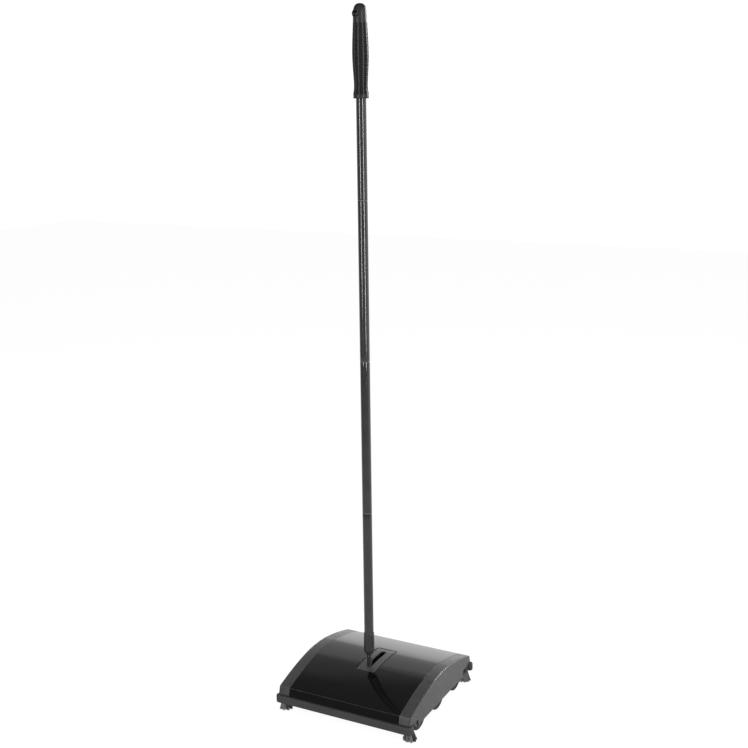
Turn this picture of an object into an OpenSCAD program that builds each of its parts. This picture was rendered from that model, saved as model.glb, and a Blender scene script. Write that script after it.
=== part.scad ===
// Manual floor and carpet sweeper: a low arched head on six friction-drive
// wheels, with two brush rotors, two drop-open dust pans and four corner
// brushes, pushed by a four-section tube handle that tilts in a slot.
// Millimetres. X is the head's width, Y runs from the front (-Y) to the back,
// Z is up. The origin is on the floor under the middle of the head.

/* [Head] */
// Width of the head over the two end caps
head_w = 241; // [236:1:246]
// Width of the arched top band of each end cap
band_w = 19.7; // [19:0.1:21]
// Height of the top cover's crown above the floor
crown_h = 66; // [66:0.5:68]
// Height of the soft kinks either side of the crown
kink_h = 64.3; // [64:0.1:65]
// Distance of each soft kink from the middle
kink_y = 30; // [28:1:32]
// Height of the front and rear crease lines
crease_h = 43.1; // [43:0.1:44]
// Distance of each crease line from the middle
crease_y = 118; // [117:0.5:119]
// Distance of the foot of the front and rear faces from the middle
foot_y = 121.5; // [121:0.5:122.5]
// Height of the lower edge of the front and rear faces
foot_h = 29.3; // [29.3:0.1:30]
// Wall thickness of the pressed top cover
cover_t = 1.8; // [1.4:0.1:1.9]
// Wall thickness of the moulded end caps
cap_t = 2.3; // [2:0.1:2.5]

/* [Bumpers] */
// Length of each bumper bar, end to end
bumper_l = 250; // [246:1:254]
// Distance of the outer face of each bumper from the middle
bumper_y = 126; // [125:0.5:128]
// Height of the underside of the bumpers above the floor
bumper_z0 = 16.2; // [16:0.1:19]
// Height of the top of the bumpers above the floor
bumper_z1 = 29; // [28:0.5:29]

/* [Running gear] */
// Radius of the six wheels over their tyres
wheel_r = 26; // [25.5:0.1:26]
// Distance from one wheel axle to the next along the head
wheel_pitch = 72; // [72:0.1:72.4]
// Width of each tyre
wheel_w = 10; // [8:0.5:10]
// Radius of the friction rings at the ends of the rotors
ring_r = 9.7; // [9.2:0.1:9.7]
// Radius of the rotor bristle tips
bristle_r = 24.5; // [22:0.5:24.5]
// Radius of the wheel axle pins
axle_r = 2.5; // [2:0.1:2.5]
// Radius of the rotor shafts
shaft_r = 3; // [2.5:0.1:3]
// Radial running clearance of every turning fit
run_gap = 0.05; // [0.03:0.01:0.08]

/* [Handle] */
// Distance of the upright handle in front of the middle of the head
pole_y = 26.4; // [25.5:0.1:26.4]
// Outside radius of the handle tubes
tube_r = 7.8; // [7.5:0.1:8]
// Wall thickness of the handle tubes
tube_t = 1; // [0.8:0.1:1.2]
// Length of one handle section from joint to joint
section_l = 251.4; // [249:0.2:252]
// Radius of the bent yoke rod
rod_r = 3.9; // [3.5:0.1:4]
// Overall height of the sweeper with the handle upright
total_h = 1125.2; // [1122:0.2:1130]
// Radius of the hanging hole through the grip
hang_r = 4; // [3.5:0.1:4.2]
// Turn of the grip and its hanging hole round the tube, to the left of straight ahead
hang_turn = 14; // [0:1:45]

/* [Hidden] */
$fn = 64;

cap_x1 = head_w / 2;            // outer side face of an end cap
cap_x0 = cap_x1 - band_w;       // inner edge of an end cap's band
cover_x = cap_x0 - 0.2;         // half width of the top cover
frame_x1 = cap_x0 - 0.4;        // outer face of a side frame
frame_x0 = frame_x1 - 2;        // inner face of a side frame
wheel_x1 = cap_x1 - 6.5;        // outer face of a wheel
wheel_x0 = wheel_x1 - wheel_w;  // inner face of a wheel
axle_z = wheel_r;
rotor_y = wheel_pitch / 2;
pan_hinge_y = 107;
pan_hinge_z = 12.7;
pivot_z = 38;                   // height of the handle's tilt axis
bend_z = 60;                    // height of the bend in the yoke rod
slot_y = pole_y + rod_r + 0.4;  // half length of the handle slot
slot_x = 4.75;                  // half width of the handle slot
ferrule_z0 = 92.5;
ferrule_z1 = 125;
socket_z = 103.5;               // floor of the ferrule's tube socket
joint_z1 = 335.4;               // height of the lowest tube joint
grip_z0 = total_h - 136.3;      // lower end of the grip

// Circle of the crown, through the apex and both kinks
crown_r = (kink_y * kink_y + pow(crown_h - kink_h, 2)) / (2 * (crown_h - kink_h));
// Circle of a slope, through a kink and a crease, bulging 2 mm from its chord
slope_c = norm([crease_y - kink_y, kink_h - crease_h]);
slope_r = (slope_c * slope_c / 4 + 4) / 4;
slope_h = slope_r - 2;
slope_y0 = (kink_y + crease_y) / 2 - (kink_h - crease_h) / slope_c * slope_h;
slope_z0 = (kink_h + crease_h) / 2 - (crease_y - kink_y) / slope_c * slope_h;

// ---------- helpers ----------
// Extrudes a (Y, Z) outline along X from x0 to x1
module xp(x0, x1) translate([x0, 0, 0]) rotate([90, 0, 90]) linear_extrude(x1 - x0) children();
// Turns a (radius, X) outline about an axis parallel to X
module xturn(y, z) translate([0, y, z]) rotate([0, 90, 0]) rotate_extrude($fn = 96) children();
module xrod(x0, x1, y, z, r, f = 48) translate([x0, y, z]) rotate([0, 90, 0]) cylinder(r = r, h = x1 - x0, $fn = f);
module both() { children(); mirror([1, 0, 0]) children(); }

// The arched outline of the head, moved in by t, down to far below the floor
module arch2d(t) intersection() {
  translate([0, crown_h - crown_r]) circle(crown_r - t, $fn = 720);
  translate([-slope_y0, slope_z0]) circle(slope_r - t, $fn = 720);
  translate([slope_y0, slope_z0]) circle(slope_r - t, $fn = 720);
  polygon([[-(foot_y - t), -40], [foot_y - t, -40], [foot_y - t, foot_h],
    [foot_y - t - (foot_y - crease_y) * (80 - foot_h) / (crease_h - foot_h), 80],
    [-(foot_y - t - (foot_y - crease_y) * (80 - foot_h) / (crease_h - foot_h)), 80],
    [-(foot_y - t), foot_h]]);
}
// Rounded rectangle, half sizes a and b
module rrect(a, b, r) union() {
  square([2 * a - 2 * r, 2 * b], center = true);
  square([2 * a, 2 * b - 2 * r], center = true);
  for (sx = [-1, 1], sy = [-1, 1]) translate([sx * (a - r), sy * (b - r)]) circle(r, $fn = 32);
}
// Points of a coil of wire and its two straight legs, about an X axis
function coil_path(x0, turns, r, pitch) = concat(
  [[x0, 0 * r + r, 8]], [[x0, r, 4]],
  [for (i = [0 : turns * 12 - 6]) [x0 + i * pitch / 12, r * cos(i * 30), -r * sin(i * 30)]],
  [[x0 + (turns - 0.5) * pitch, -r, 4], [x0 + (turns - 0.5) * pitch, -r, 8]]);
function unit(v) = v / norm(v);
// Sweeps an n-sided ring of radius r along a path that never runs along Z alone for long
module wire(path, r, n = 6) {
  m = len(path);
  t = [for (i = [0 : m - 1]) unit(path[min(i + 1, m - 1)] - path[max(i - 1, 0)])];
  pts = [for (i = [0 : m - 1]) let(a = unit(cross(t[i], [1, 0.02, 0.01])), b = cross(t[i], a))
    for (k = [0 : n - 1]) path[i] + r * (cos(k * 360 / n) * a + sin(k * 360 / n) * b)];
  sides = [for (i = [0 : m - 2], k = [0 : n - 1]) let(k2 = (k + 1) % n)
    each [[i * n + k, i * n + k2, (i + 1) * n + k2], [i * n + k, (i + 1) * n + k2, (i + 1) * n + k]]];
  caps = [[for (k = [n - 1 : -1 : 0]) k], [for (k = [0 : n - 1]) (m - 1) * n + k]];
  polyhedron(points = pts, faces = concat(sides, caps), convexity = 6);
}

// ---------- covers ----------
// Pressed top cover with its turned-down front and rear faces
module top_cover() color([0.035, 0.035, 0.04]) difference() {
  xp(-cover_x, cover_x) difference() {
    arch2d(0);
    arch2d(cover_t);
    translate([-200, foot_h - 200]) square([400, 200]);
  }
  translate([0, 0, 40]) linear_extrude(40) rrect(17.6, 42.1, 3.3);
}
// Moulded plate with the slot that the handle tilts in
module slot_plate() color([0.22, 0.22, 0.225]) difference() {
  union() {
    intersection() {
      xp(-17.3, 17.3) difference() { arch2d(0.3); arch2d(3.1); }
      translate([0, 0, 40]) linear_extrude(40) rrect(17.3, 41.8, 3);
    }
    intersection() {
      xp(-21, 21) difference() { arch2d(cover_t + 0.1); arch2d(3.1); }
      translate([0, 0, 40]) linear_extrude(40) rrect(21, 46, 3);
    }
  }
  translate([0, 0, 40]) linear_extrude(40) union() {
    square([2 * slot_x, 2 * slot_y - 2 * slot_x], center = true);
    for (s = [-1, 1]) translate([0, s * (slot_y - slot_x)]) circle(slot_x, $fn = 48);
  }
}
// Outline of an end cap seen from the side: arched above, with a notch at
// each corner for the corner brush and a straight skirt over the wheels
module cap_outline() intersection() {
  arch2d(0);
  polygon([[-130, foot_h], [-112.3, foot_h], [-111.5, 27.6], [-92.5, 27.6], [-89.5, 24.5],
    [-89.5, 13.5], [-85.5, 13], [-82, 16.5], [82, 16.5], [85.5, 13], [89.5, 13.5],
    [89.5, 24.5], [92.5, 27.6], [111.5, 27.6], [112.3, foot_h], [130, foot_h],
    [130, 90], [-130, 90]]);
}
post_pos = [[-107.5, 37], [-36, 56.5], [36, 56.5], [107.5, 37]];
module end_cap_right() difference() {
  union() {
    difference() {
      xp(cap_x0, cap_x1) cap_outline();
      xp(cap_x0 - 1, cap_x1 - cap_t) arch2d(cap_t);
    }
    // bosses that hold the outer ends of the wheel axles
    for (y = [-wheel_pitch, 0, wheel_pitch]) xrod(wheel_x1 + 0.6, cap_x1 - cap_t + 0.5, y, axle_z, 5);
    // screw posts
    intersection() {
      union() for (p = post_pos) xrod(frame_x1, cap_x1 - cap_t + 0.5, p[0], p[1], 3.4);
      xp(frame_x1, cap_x1) arch2d(cover_t + 0.2);
    }
  }
  for (y = [-wheel_pitch, 0, wheel_pitch]) xrod(wheel_x1, cap_x1 - 1.3, y, axle_z, axle_r);
  for (p = post_pos) xrod(frame_x1 - 1, frame_x1 + 12, p[0], p[1], 1.5);
}
module right_end_cap() color([0.16, 0.16, 0.165]) end_cap_right();
module left_end_cap() color([0.16, 0.16, 0.165]) mirror([1, 0, 0]) end_cap_right();

// Bumper bar with rounded ends and an ear over each corner brush
module bumper_at_front() {
  hl = bumper_l / 2;
  y1 = -112.5;
  translate([0, 0, bumper_z0]) linear_extrude(bumper_z1 - bumper_z0) union() {
    translate([-hl + 6, -bumper_y]) square([2 * hl - 12, bumper_y + y1]);
    for (s = [-1, 1]) translate([s * (hl - 6), -bumper_y + 6]) circle(6, $fn = 48);
  }
  for (s = [-1, 1]) translate([s * 114 - 5.5, y1 - 0.5, bumper_z0]) cube([11, 9.5, 27.2 - bumper_z0]);
}
module front_bumper() color([0.25, 0.25, 0.255]) bumper_at_front();
module rear_bumper() color([0.25, 0.25, 0.255]) mirror([0, 1, 0]) bumper_at_front();

// ---------- chassis ----------
module frame_right() difference() {
  xp(frame_x0, frame_x1) intersection() {
    arch2d(2.1);
    polygon([[-112.5, 20], [-112.5, 8.5], [-102, 8.5], [-98, 14], [98, 14], [102, 8.5],
      [112.5, 8.5], [112.5, 20], [112.5, 29], [119, 30], [119, 80], [-119, 80], [-119, 30], [-112.5, 29]]);
  }
  for (y = [-wheel_pitch, 0, wheel_pitch]) xrod(frame_x0 - 1, frame_x1 + 1, y, axle_z, axle_r);
  for (s = [-1, 1]) xrod(frame_x0 - 1, frame_x1 + 1, s * rotor_y, axle_z, shaft_r + 2);
  for (s = [-1, 1]) xrod(frame_x0 - 1, frame_x1 + 1, s * pan_hinge_y, pan_hinge_z, 1.5);
  for (p = post_pos) xrod(frame_x0 - 1, frame_x1 + 1, p[0], p[1], 1.6);
}
module right_side_frame() color([0.55, 0.56, 0.57]) frame_right();
module left_side_frame() color([0.55, 0.56, 0.57]) mirror([1, 0, 0]) frame_right();

// Folded sheet over both rotors, with a valley between them for the handle
// bracket and a sloping ceiling over each dust pan
shroud_r = 26.5;
fall = 13.4;
module half_shroud2d() {
  y0 = rotor_y + shroud_r * sin(fall);
  z0 = axle_z + shroud_r * cos(fall);
  t = tan(fall);
  intersection() {
    translate([-rotor_y, axle_z]) difference() {
      circle(shroud_r, $fn = 180);
      circle(shroud_r - 1, $fn = 180);
    }
    polygon([[-y0, axle_z], [-y0, 70], [0, 70], [0, 29], [-rotor_y + 20, 29], [-rotor_y, 32], [-rotor_y, axle_z]]);
  }
  // half of the valley floor
  translate([-rotor_y + 25.6, 28]) square([rotor_y - 24.6, 1.2]);
  // pan ceiling and its turned-down edge
  polygon([[-y0 + 2.5, z0 + 2.5 * t + 0.2], [-103.5, z0 - (103.5 - y0) * t + 0.2],
    [-103.5, 32.2], [-102.3, 32.2], [-102.3, z0 - (102.3 - y0) * t - 1.2], [-y0 + 2.5, z0 - 1.2 + 2.5 * t]]);
}
module rotor_shroud() color([0.6, 0.61, 0.62]) difference() {
  union() {
    xp(-frame_x0, frame_x0) half_shroud2d();
    mirror([0, 1, 0]) xp(-frame_x0, frame_x0) half_shroud2d();
  }
  // room for the heads of the middle axles
  for (s = [-1, 1]) xrod(s * frame_x0 - 2, s * frame_x0 + 2, 0, axle_z, axle_r + 2.2);
}

// U bracket in the shroud's valley that carries the handle's pivot pin
module handle_bracket() color([0.58, 0.59, 0.6]) difference() {
  union() {
    translate([-7.6, -8, 29.2]) cube([15.2, 16, 1.6]);
    for (s = [-1, 1]) {
      translate([s * 6.3 - 1.3, -8, 29.2]) cube([2.6, 16, pivot_z - 29.2]);
      xrod(s * 6.3 - 1.3, s * 6.3 + 1.3, 0, pivot_z, 6.5);
    }
  }
  xrod(-20, 20, 0, pivot_z, 2.5);
}
module handle_pivot_pin() color([0.7, 0.7, 0.72]) {
  xrod(-9.4, 9.4, 0, pivot_z, 2.5);
  xrod(7.6, 9.4, 0, pivot_z, 4.2);
  xrod(-9, -8.2, 0, pivot_z, 3.6);
}

// ---------- corner brushes ----------
// A fan of stiff bristle bundles that splays out to the floor
module tuft() intersection() {
  union() {
    translate([0, 0, -1]) cylinder(r1 = 7.6, r2 = 5.8, h = 19.5, $fn = 32);
    for (a = [0 : 60 : 300]) rotate(a + 15) translate([3.6, 0, 18])
      rotate([0, -14, 0]) translate([0, 0, -21]) cylinder(r1 = 3.4, r2 = 2.4, h = 21, $fn = 24);
  }
  translate([-20, -20, 0]) cube([40, 40, bumper_z0]);
}
module brush_at(sx, sy) color([0.2, 0.2, 0.2]) translate([sx * 114.3, sy * 108.6, 0]) scale([sx, sy, 1]) tuft();
module front_left_corner_brush() brush_at(-1, -1);
module front_right_corner_brush() brush_at(1, -1);
module rear_left_corner_brush() brush_at(-1, 1);
module rear_right_corner_brush() brush_at(1, 1);

// ---------- small parts of the running gear ----------
module rotor_bushings() color([0.85, 0.85, 0.8]) both() for (s = [-1, 1]) xturn(s * rotor_y, axle_z)
  polygon([[shaft_r + run_gap, frame_x0], [shaft_r + 2, frame_x0], [shaft_r + 2, frame_x1],
    [shaft_r + 3.6, frame_x1], [shaft_r + 3.6, frame_x1 + 1], [shaft_r + run_gap, frame_x1 + 1]]);
module wheel_axles() color([0.7, 0.7, 0.72]) both() for (y = [-wheel_pitch, 0, wheel_pitch]) {
  xrod(frame_x0 - 1.2, frame_x0, y, axle_z, axle_r + 1.6);
  xrod(frame_x0 - 0.6, cap_x1 - 1.4, y, axle_z, axle_r);
  xrod(frame_x1, wheel_x0 - 0.3, y, axle_z, axle_r + 2);
}
module end_cap_screws() color([0.7, 0.7, 0.72]) both() for (p = post_pos) difference() {
  union() {
    xrod(frame_x0 - 1.6, frame_x0, p[0], p[1], 2.9);
    xrod(frame_x0 - 0.8, frame_x1 + 11, p[0], p[1], 1.5);
  }
  translate([frame_x0 - 2, p[0] - 2, p[1] - 0.4]) cube([1, 4, 0.8]);
  translate([frame_x0 - 2, p[0] - 0.4, p[1] - 2]) cube([1, 0.8, 4]);
}
module hinge_rod(s) color([0.7, 0.7, 0.72]) {
  xrod(-frame_x1, frame_x1, s * pan_hinge_y, pan_hinge_z, 1.5);
}
module front_pan_hinge_rod() hinge_rod(-1);
module rear_pan_hinge_rod() hinge_rod(1);

// ---------- dust pans ----------
// Trough that swings down about the rod behind its outer wall
module pan_at_front() difference() {
  union() {
    xp(-96.4, 96.4) polygon([[-103.5, 31], [-103.5, 9.5], [-62.6, 9.5], [-61.1, 19.5], [-62.3, 19.8],
      [-63.9, 11], [-102, 11], [-102, 31]]);
    for (s = [-1, 1]) xp(s * 95.6 - 0.8, s * 95.6 + 0.8) polygon([[-103.5, 31], [-103.5, 9.5],
      [-62.6, 9.5], [-61.1, 19.5], [-66, 29.5], [-70, 31]]);
    // hinge knuckles and their webs
    for (x = [-86, 0, 86]) {
      xrod(x - 8, x + 8, -pan_hinge_y, pan_hinge_z, 3.1);
      translate([x - 8, -pan_hinge_y, pan_hinge_z - 3.1]) cube([16, 4.2, 6.2]);
    }
    // finger tab that is pressed to swing the pan open
    translate([-14, -105.2, 27]) cube([28, 2, 4]);
  }
  xrod(-120, 120, -pan_hinge_y, pan_hinge_z, 1.5 + run_gap);
}
module front_dust_pan() color([0.12, 0.12, 0.125]) pan_at_front();
module rear_dust_pan() color([0.12, 0.12, 0.125]) mirror([0, 1, 0]) pan_at_front();
module springs_at_front() for (s = [-1, 1]) translate([s * 48 - 3, -pan_hinge_y, pan_hinge_z]) wire(coil_path(0, 5, 2.45, 1.3), 0.45);
module front_pan_springs() color([0.7, 0.7, 0.72]) springs_at_front();
module rear_pan_springs() color([0.7, 0.7, 0.72]) mirror([0, 1, 0]) springs_at_front();

// ---------- rotors ----------
core_x = 94;
module rotor_shaft(s) color([0.7, 0.7, 0.72]) xrod(-wheel_x1 + 1.5, wheel_x1 - 1.5, s * rotor_y, axle_z, shaft_r);
module rotor_core(s) color([0.75, 0.6, 0.4]) xturn(s * rotor_y, axle_z)
  polygon([[shaft_r, -core_x - 2], [6, -core_x - 2], [6, -core_x], [9, -core_x], [9, core_x],
    [6, core_x], [6, core_x + 2], [shaft_r, core_x + 2]]);
// Four rows of bristles wound round the core in long helices
module rotor_bristles(s) color([0.15, 0.13, 0.12]) translate([-92, s * rotor_y, axle_z]) rotate([0, 90, 0])
  for (a = [0 : 90 : 270]) rotate(a) linear_extrude(height = 184, twist = 150 * s, slices = 28, convexity = 4, $fn = 4)
    translate([8.5, -2.2]) square([bristle_r - 8.6, 4.4]);
module rotor_pulleys(s) color([0.3, 0.3, 0.3]) both() xturn(s * rotor_y, axle_z)
  polygon([[shaft_r, wheel_x0 - 1.6], [5.5, wheel_x0 - 1.6], [5.5, wheel_x0], [6.8, wheel_x0], [6.8, wheel_x1 - 2],
    [shaft_r, wheel_x1 - 2]]);
module friction_rings(s) color([0.06, 0.06, 0.06]) both() xturn(s * rotor_y, axle_z)
  polygon([[6.8, wheel_x0 + 0.5], [ring_r - 0.5, wheel_x0 + 0.5], [ring_r, wheel_x0 + 1], [ring_r, wheel_x1 - 2.5],
    [ring_r - 0.5, wheel_x1 - 2], [6.8, wheel_x1 - 2]]);
module front_rotor_shaft() rotor_shaft(-1);
module front_rotor_core() rotor_core(-1);
module front_rotor_bristles() rotor_bristles(-1);
module front_rotor_pulleys() rotor_pulleys(-1);
module front_friction_rings() friction_rings(-1);
module rear_rotor_shaft() rotor_shaft(1);
module rear_rotor_core() rotor_core(1);
module rear_rotor_bristles() rotor_bristles(1);
module rear_rotor_pulleys() rotor_pulleys(1);
module rear_friction_rings() friction_rings(1);

// ---------- wheels ----------
// Dished hub with its face near the outside
hub_r = 20.5;
module hub(sx, y) color([0.45, 0.45, 0.46]) scale([sx, 1, 1]) xturn(y, axle_z)
  polygon([[axle_r + run_gap, wheel_x0], [6, wheel_x0], [6, wheel_x1 - 3.4], [17, wheel_x1 - 3.4], [17, wheel_x0 + 1],
    [hub_r, wheel_x0 + 1], [hub_r, wheel_x1 - 0.6], [17.6, wheel_x1 - 0.6], [16.6, wheel_x1 - 1.4], [7.4, wheel_x1 - 1.4],
    [6.4, wheel_x1 - 0.4], [axle_r + run_gap, wheel_x1 - 0.4]]);
module tyre(sx, y) color([0.05, 0.05, 0.05]) scale([sx, 1, 1]) xturn(y, axle_z)
  polygon([[hub_r, wheel_x0 + 0.2], [wheel_r - 1.5, wheel_x0], [wheel_r - 0.4, wheel_x0 + 0.6], [wheel_r, wheel_x0 + 1.8],
    [wheel_r, wheel_x1 - 1.8], [wheel_r - 0.4, wheel_x1 - 0.6], [wheel_r - 1.5, wheel_x1], [hub_r, wheel_x1 - 0.2]]);
module front_left_hub() hub(-1, -wheel_pitch);
module front_left_tyre() tyre(-1, -wheel_pitch);
module middle_left_hub() hub(-1, 0);
module middle_left_tyre() tyre(-1, 0);
module rear_left_hub() hub(-1, wheel_pitch);
module rear_left_tyre() tyre(-1, wheel_pitch);
module front_right_hub() hub(1, -wheel_pitch);
module front_right_tyre() tyre(1, -wheel_pitch);
module middle_right_hub() hub(1, 0);
module middle_right_tyre() tyre(1, 0);
module rear_right_hub() hub(1, wheel_pitch);
module rear_right_tyre() tyre(1, wheel_pitch);

// ---------- handle ----------
// Steel rod bent back under the slot to an eye on the pivot pin
arm_l = norm([pole_y, bend_z - pivot_z]);
arm_a = atan2(pole_y, bend_z - pivot_z);
module yoke_rod() color([0.1, 0.1, 0.1]) difference() {
  union() {
    translate([0, -pole_y, bend_z]) cylinder(r = rod_r, h = socket_z - bend_z - 0.5, $fn = 48);
    translate([0, -pole_y, bend_z]) sphere(rod_r, $fn = 48);
    translate([0, 0, pivot_z]) rotate([arm_a, 0, 0]) cylinder(r = rod_r, h = arm_l, $fn = 48);
    xrod(-4, 4, 0, pivot_z, 6);
  }
  xrod(-10, 10, 0, pivot_z, 2.5 + run_gap);
}
module turn_at_pole() translate([0, -pole_y, 0]) rotate_extrude($fn = 96) children();
module ferrule_nut() color([0.2, 0.2, 0.2]) turn_at_pole()
  polygon([[rod_r, 81.5], [4.3, 81.5], [4.6, 84], [5.3, 86], [6.3, 88], [7.5, 90], [8.4, 91.6], [8.4, ferrule_z0], [rod_r, ferrule_z0]]);
module ferrule() color([0.1, 0.1, 0.1]) turn_at_pole()
  polygon([[rod_r, ferrule_z0], [8.8, ferrule_z0], [9.1, ferrule_z0 + 0.8], [9.1, ferrule_z0 + 3], [8.75, ferrule_z1 - 1],
    [8.5, ferrule_z1], [tube_r, ferrule_z1], [tube_r, socket_z], [rod_r, socket_z]]);
module tube(z0, z1) color([0.08, 0.08, 0.08]) translate([0, -pole_y, 0]) difference() {
  translate([0, 0, z0]) cylinder(r = tube_r, h = z1 - z0, $fn = 96);
  translate([0, 0, z0 - 1]) cylinder(r = tube_r - tube_t, h = z1 - z0 + 2, $fn = 96);
}
function joint_z(i) = joint_z1 + (i - 1) * section_l;
module connector(i) color([0.3, 0.3, 0.3]) translate([0, -pole_y, joint_z(i)]) {
  translate([0, 0, -28]) cylinder(r = tube_r - tube_t, h = 56, $fn = 96);
  translate([0, 0, -0.5]) cylinder(r = tube_r, h = 1, $fn = 96);
}
module handle_tube_1() tube(socket_z, joint_z(1) - 0.5);
module handle_tube_2() tube(joint_z(1) + 0.5, joint_z(2) - 0.5);
module handle_tube_3() tube(joint_z(2) + 0.5, joint_z(3) - 0.5);
module handle_tube_4() tube(joint_z(3) + 0.5, joint_z(3) + section_l);
module tube_connector_1() connector(1);
module tube_connector_2() connector(2);
module tube_connector_3() connector(3);
// Soft grip: smooth domed cap, swollen ribbed middle and a collar at the foot.
// Radii follow height above the grip's lower end.
grip_profile = [[11.7, 0], [11.7, 5], [10.5, 14], [10.3, 20.5], [10.8, 31], [11.8, 47], [12.3, 61], [12.1, 76],
  [11.5, 91], [10.9, 103], [10.6, 111], [10.5, 119], [9.9, 127], [8.2, 132.6], [5, 135.5], [0, 136.3]];
module grip() color([0.07, 0.07, 0.07]) difference() {
  union() {
    translate([0, -pole_y, grip_z0]) rotate_extrude($fn = 96) polygon(concat([[0, 0]], grip_profile));
    // raised rim at the front mouth of the hanging hole
    translate([0, -pole_y, grip_z0 + 121.5]) rotate([0, 0, -hang_turn]) rotate([90, 0, 0]) cylinder(r = hang_r + 1.9, h = 11.5, $fn = 64);
  }
  translate([0, -pole_y, grip_z0 - 1]) cylinder(r = tube_r, h = joint_z(3) + section_l + 0.4 - grip_z0 + 1, $fn = 96);
  translate([0, -pole_y, grip_z0 + 121.5]) rotate([0, 0, -hang_turn]) rotate([90, 0, 0]) cylinder(r = hang_r, h = 60, center = true, $fn = 48);
}

top_cover();
slot_plate();
left_end_cap();
right_end_cap();
front_bumper();
rear_bumper();
left_side_frame();
right_side_frame();
rotor_shroud();
handle_bracket();
handle_pivot_pin();
front_left_corner_brush();
front_right_corner_brush();
rear_left_corner_brush();
rear_right_corner_brush();
rotor_bushings();
wheel_axles();
end_cap_screws();
front_pan_hinge_rod();
rear_pan_hinge_rod();
front_dust_pan();
front_pan_springs();
rear_dust_pan();
rear_pan_springs();
front_rotor_shaft();
front_rotor_core();
front_rotor_bristles();
front_rotor_pulleys();
front_friction_rings();
rear_rotor_shaft();
rear_rotor_core();
rear_rotor_bristles();
rear_rotor_pulleys();
rear_friction_rings();
front_left_hub();
front_left_tyre();
middle_left_hub();
middle_left_tyre();
rear_left_hub();
rear_left_tyre();
front_right_hub();
front_right_tyre();
middle_right_hub();
middle_right_tyre();
rear_right_hub();
rear_right_tyre();
yoke_rod();
ferrule_nut();
ferrule();
handle_tube_1();
tube_connector_1();
handle_tube_2();
tube_connector_2();
handle_tube_3();
tube_connector_3();
handle_tube_4();
grip();
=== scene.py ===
"""Looks of the manual carpet sweeper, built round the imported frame. Lengths in
the geometry code are millimetres in the frame's own axes and are scaled to
metres when a mesh is made."""

import math
import random

import bmesh
import bpy
import numpy as np
from mathutils import Matrix, Vector


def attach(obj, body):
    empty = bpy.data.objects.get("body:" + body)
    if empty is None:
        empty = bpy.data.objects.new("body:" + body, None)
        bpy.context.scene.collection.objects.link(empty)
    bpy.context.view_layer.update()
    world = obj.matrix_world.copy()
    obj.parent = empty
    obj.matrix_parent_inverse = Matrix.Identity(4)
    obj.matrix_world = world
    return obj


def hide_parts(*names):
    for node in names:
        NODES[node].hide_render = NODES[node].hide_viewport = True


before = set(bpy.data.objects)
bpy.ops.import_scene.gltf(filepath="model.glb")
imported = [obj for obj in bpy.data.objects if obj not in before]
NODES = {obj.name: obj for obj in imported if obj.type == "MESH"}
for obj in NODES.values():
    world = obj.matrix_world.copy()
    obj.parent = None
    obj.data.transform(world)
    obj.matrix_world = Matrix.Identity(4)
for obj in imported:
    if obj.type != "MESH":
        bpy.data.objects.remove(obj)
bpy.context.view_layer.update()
rng = random.Random(11)
MM = 0.001
scene = bpy.context.scene


# ---------------------------------------------------------------- mesh tools
def link(name, me):
    ob = bpy.data.objects.new(name, me)
    scene.collection.objects.link(ob)
    return ob


def mesh_obj(name, verts, faces):
    me = bpy.data.meshes.new(name)
    me.from_pydata([(v[0] * MM, v[1] * MM, v[2] * MM) for v in verts], [], faces)
    bm = bmesh.new()
    bm.from_mesh(me)
    bmesh.ops.remove_doubles(bm, verts=bm.verts, dist=1e-6)
    bmesh.ops.recalc_face_normals(bm, faces=bm.faces)
    bm.to_mesh(me)
    bm.free()
    me.update()
    return link(name, me)


def apply_mods(ob):
    dg = bpy.context.evaluated_depsgraph_get()
    dg.update()
    me = bpy.data.meshes.new_from_object(ob.evaluated_get(dg), preserve_all_data_layers=True, depsgraph=dg)
    old = ob.data
    ob.modifiers.clear()
    ob.data = me
    me.name = ob.name
    bpy.data.meshes.remove(old)
    return ob


def drop(ob):
    me = ob.data
    bpy.data.objects.remove(ob)
    bpy.data.meshes.remove(me)


def boolean(a, b, op="DIFFERENCE"):
    m = a.modifiers.new("cut", "BOOLEAN")
    m.operation = op
    m.solver = "EXACT"
    m.object = b
    apply_mods(a)
    drop(b)
    return a


def tidy(ob, dist=2e-6, dissolve=None):
    bm = bmesh.new()
    bm.from_mesh(ob.data)
    bmesh.ops.remove_doubles(bm, verts=bm.verts, dist=dist)
    if dissolve:
        bmesh.ops.dissolve_limit(bm, angle_limit=math.radians(dissolve), verts=bm.verts, edges=bm.edges)
    bmesh.ops.recalc_face_normals(bm, faces=bm.faces)
    bm.to_mesh(ob.data)
    bm.free()
    return ob


def bevel(ob, width, seg=2, angle=40):
    m = ob.modifiers.new("bevel", "BEVEL")
    m.width = width * MM
    m.segments = seg
    m.limit_method = "ANGLE"
    m.angle_limit = math.radians(angle)
    m.use_clamp_overlap = True
    m.miter_outer = "MITER_ARC"
    apply_mods(ob)
    return ob


def smooth(ob, angle=32, kinks=(), weighted=True):
    """Smooth shading with sharp edges over the angle, and along X at each (y, z) of kinks."""
    me = ob.data
    me.shade_smooth()
    me.set_sharp_from_angle(angle=math.radians(angle))
    if kinks:
        att = me.attributes.get("sharp_edge") or me.attributes.new("sharp_edge", "BOOLEAN", "EDGE")
        co = [v.co for v in me.vertices]
        for e in me.edges:
            a, b = co[e.vertices[0]], co[e.vertices[1]]
            if abs(a.y - b.y) < 1e-6 and any(abs(a.y - y * MM) < 6e-5 and abs(a.z - z * MM) < 3e-4 for y, z in kinks):
                att.data[e.index].value = True
    if weighted:
        m = ob.modifiers.new("wn", "WEIGHTED_NORMAL")
        m.keep_sharp = True
        m.weight = 60
        apply_mods(ob)
    return ob


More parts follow.
